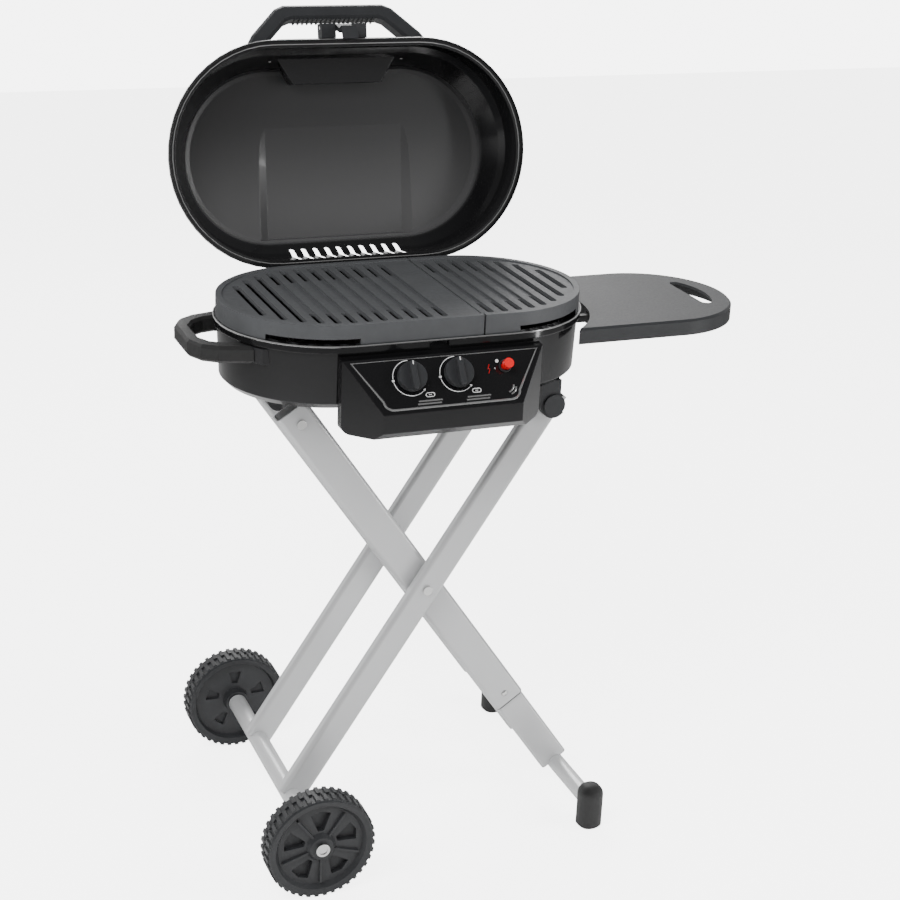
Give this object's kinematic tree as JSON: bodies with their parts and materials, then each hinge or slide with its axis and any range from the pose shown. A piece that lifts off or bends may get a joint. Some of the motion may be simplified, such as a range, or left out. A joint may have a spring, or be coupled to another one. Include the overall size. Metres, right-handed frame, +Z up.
{
  "type": "folding camp grill",
  "caption": "Portable gas grill with a hinged lid, round-ended bowl, knobs and igniter, drop-down side table and a folding X stand with wheels.",
  "frame": {"origin": "on the floor at the middle of the open grill's bounding box", "axes": "+X towards the side table, -Y towards the knobs, +Z up"},
  "size_m": [0.838, 0.586, 1.1669],
  "materials": {
    "enamel_black": "gloss enamel",
    "black_paint": "satin",
    "grey_paint": "silver grey powder coat",
    "plated_steel": "plain",
    "bright_steel": "bright zinc",
    "brass": "turned",
    "cast_iron": "matte coated",
    "black_plastic": "fine grain",
    "red_plastic": "gloss",
    "boot_rubber": "matte"
  },
  "bodies": {
    "firebox": {"firebox_bowl": "enamel_black", "drip_pan": "plated_steel", "left_burner": "plated_steel", "right_burner": "plated_steel", "burner_posts": "plated_steel", "gas_valves": "brass", "gas_manifold": "plated_steel", "gas_inlet": "brass", "control_box": "enamel_black", "igniter_bezel": "black_plastic", "igniter_housing": "black_plastic", "igniter_electrode": "bright_steel", "left_grate": "cast_iron", "right_grate": "cast_iron", "left_handle": "black_plastic", "handle_brackets": "black_paint", "lid_hinge_brackets": "black_paint", "lid_hinge_pins": "bright_steel", "saddle_brackets": "black_plastic", "top_pivot_pins": "bright_steel", "crossbar_cradles": "black_plastic", "cradle_clips": "bright_steel", "table_hinge_brackets": "black_paint", "table_hinge_pins": "bright_steel"},
    "lid": {"lid_shell": "enamel_black", "lid_handle": "black_plastic", "latch_plate": "black_paint", "latch_blocks": "black_plastic", "latch_pin": "bright_steel", "lid_hinge_leaves": "black_paint"},
    "latch": {"lid_latch": "black_plastic"},
    "table": {"side_table": "black_plastic", "table_hinge_leaves": "black_paint"},
    "foot_legs": {"front_foot_leg": "grey_paint", "rear_foot_leg": "grey_paint"},
    "feet": {"front_foot_insert": "grey_paint", "rear_foot_insert": "grey_paint", "feet_tube": "grey_paint", "foot_boots": "boot_rubber", "snap_buttons": "bright_steel"},
    "wheel_legs": {"front_wheel_leg": "grey_paint", "rear_wheel_leg": "grey_paint", "crossing_rivets": "bright_steel", "crossing_washers": "bright_steel", "axle_tube": "grey_paint", "axle_rod": "bright_steel", "push_caps": "bright_steel", "top_crossbar": "grey_paint", "crossbar_caps": "black_plastic"},
    "front_wheel": {"front_wheel": "black_plastic"},
    "rear_wheel": {"rear_wheel": "black_plastic"},
    "left_knob": {"left_knob": "black_plastic", "left_knob_stem": "bright_steel"},
    "right_knob": {"right_knob": "black_plastic", "right_knob_stem": "bright_steel"},
    "igniter_button": {"igniter_button": "red_plastic"}
  },
  "joints": [
    {"name": "lid_hinge", "type": "hinge", "parent": "firebox", "child": "lid", "pos_m": [-0.10098, 0.13596, 0.787], "axis": [1, 0, 0], "range_deg": [0, 100.5]},
    {"name": "latch_pivot", "type": "hinge", "parent": "lid", "child": "latch", "pos_m": [-0.10098, 0.23099, 1.1406], "axis": [1, 0, 0], "range_deg": [0, 20]},
    {"name": "table_hinge", "type": "hinge", "parent": "firebox", "child": "table", "pos_m": [0.18202, -0.04704, 0.768], "axis": [0, -1, 0], "range_deg": [-90, 0]},
    {"name": "leg_fold", "type": "hinge", "parent": "firebox", "child": "foot_legs", "pos_m": [-0.26898, -0.04704, 0.657], "axis": [0, -1, 0], "range_deg": [0, 52], "deforming": ["cradle_clips"]},
    {"name": "leg_crossing", "type": "hinge", "parent": "foot_legs", "child": "wheel_legs", "pos_m": [-0.08165, -0.04704, 0.38897], "axis": [0, -1, 0], "range_deg": [-104, 0]},
    {"name": "foot_slide", "type": "slide", "parent": "foot_legs", "child": "feet", "axis": [-0.5729, 0, 0.8197], "range_m": [0, 0.09], "deforming": ["snap_buttons"]},
    {"name": "front_wheel_spin", "type": "hinge", "parent": "wheel_legs", "child": "front_wheel", "pos_m": [-0.28409, -0.26904, 0.07986], "axis": [0, 1, 0], "continuous": true},
    {"name": "rear_wheel_spin", "type": "hinge", "parent": "wheel_legs", "child": "rear_wheel", "pos_m": [-0.28409, 0.17496, 0.07986], "axis": [0, 1, 0], "continuous": true},
    {"name": "left_knob_turn", "type": "hinge", "parent": "firebox", "child": "left_knob", "pos_m": [-0.15298, -0.23082, 0.75013], "axis": [0, -0.829, 0.5592], "range_deg": [0, 180]},
    {"name": "right_knob_turn", "type": "hinge", "parent": "firebox", "child": "right_knob", "pos_m": [-0.08598, -0.23082, 0.75013], "axis": [0, -0.829, 0.5592], "range_deg": [0, 180]},
    {"name": "igniter_push", "type": "slide", "parent": "firebox", "child": "igniter_button", "axis": [0, 0.829, -0.5592], "range_m": [0, 0.0039], "stiffness_N_per_m": 800}
  ],
  "couplings": [
    {"joint": "leg_crossing", "follows": "leg_fold", "ratio": -2}
  ]
}
